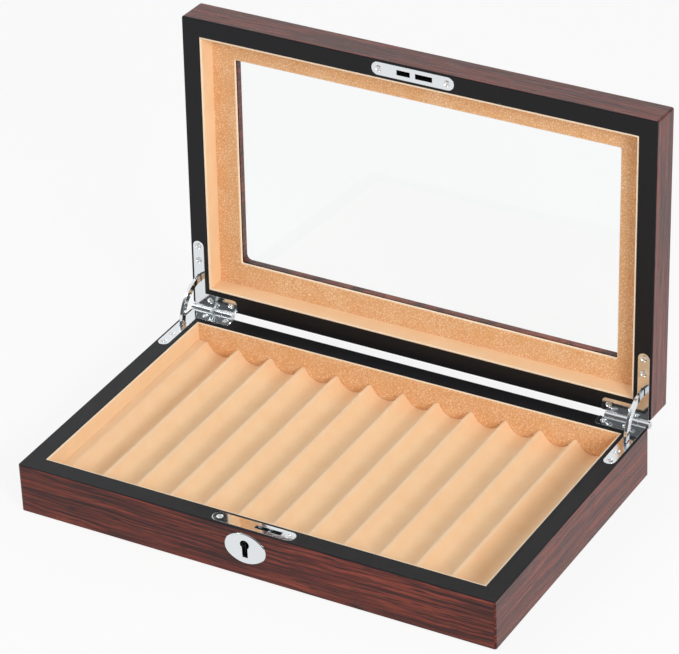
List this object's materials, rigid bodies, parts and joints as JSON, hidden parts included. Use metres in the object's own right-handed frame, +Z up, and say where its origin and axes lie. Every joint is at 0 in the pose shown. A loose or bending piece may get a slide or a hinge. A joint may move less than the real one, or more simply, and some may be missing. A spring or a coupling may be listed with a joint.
{
  "type": "pen display chest",
  "caption": "Shallow lockable wooden display chest with a grooved suede tray and a hinged, glass-windowed lid held open by stay arms.",
  "frame": {"origin": "centre of the underside of the felt, on the surface that the chest stands on", "axes": "+X along the long side, -Y towards the front with the lock, +Z up; stored with the lid open"},
  "size_m": [0.335, 0.2449, 0.2462],
  "materials": {
    "veneered_wood": "satin lacquered dark veneer, black painted rims",
    "suede": "short-napped peach suede cloth over board",
    "fibreboard": "raw fibreboard",
    "felt": "black flocked felt",
    "glass": "clear float glass",
    "chrome": "polished chrome plate",
    "screw_steel": "bright plated cross-head screws",
    "lock_steel": "pressed zinc-plated steel"
  },
  "bodies": {
    "base": {"base_back_wall": "veneered_wood", "base_felt": "felt", "base_floor": "fibreboard", "base_front_wall": "veneered_wood", "base_hinge_screws": "screw_steel", "base_left_wall": "veneered_wood", "base_lining_back": "suede", "base_lining_front": "suede", "base_lining_left": "suede", "base_lining_right": "suede", "base_right_wall": "veneered_wood", "escutcheon": "chrome", "groove_tray": "suede", "hinge_pins": "chrome", "lock_case": "lock_steel", "lock_face_plate": "chrome", "lock_key_post": "lock_steel", "lock_pivot_pin": "lock_steel", "lock_plate_screws": "screw_steel", "lock_spring": "lock_steel", "lower_leaf_left": "chrome", "lower_leaf_right": "chrome"},
    "lid": {"lid_front_wall": "veneered_wood", "lid_back_wall": "veneered_wood", "lid_left_wall": "veneered_wood", "lid_right_wall": "veneered_wood", "lid_lining_front": "suede", "lid_lining_back": "suede", "lid_lining_left": "suede", "lid_lining_right": "suede", "lid_top_panel": "veneered_wood", "glass_pane": "glass", "window_board": "suede", "upper_leaf_left": "chrome", "upper_leaf_right": "chrome", "lid_hinge_screws": "screw_steel", "strike_plate": "chrome", "strike_plate_screws": "screw_steel"},
    "stay_left": {"stay_arm_left": "chrome"},
    "stay_right": {"stay_arm_right": "chrome"},
    "lock_claw": {"lock_claw": "lock_steel"}
  },
  "joints": [
    {"name": "lid_hinge", "type": "hinge", "parent": "base", "child": "lid", "pos_m": [0, 0.1071, 0.035], "axis": [1, 0, 0], "range_deg": [0, 92.5]},
    {"name": "stay_left_swing", "type": "hinge", "parent": "base", "child": "stay_left", "pos_m": [-0.1618, 0.1071, 0.035], "axis": [1, 0, 0], "range_deg": [0, 46.25]},
    {"name": "stay_right_swing", "type": "hinge", "parent": "base", "child": "stay_right", "pos_m": [0.1618, 0.1071, 0.035], "axis": [1, 0, 0], "range_deg": [0, 46.25]},
    {"name": "lock_claw_turn", "type": "hinge", "parent": "base", "child": "lock_claw", "pos_m": [0, -0.09815, 0.03], "axis": [0, -1, 0], "range_deg": [0, 104]}
  ],
  "couplings": [
    {"joint": "stay_left_swing", "follows": "lid_hinge", "ratio": 0.5},
    {"joint": "stay_right_swing", "follows": "lid_hinge", "ratio": 0.5}
  ]
}
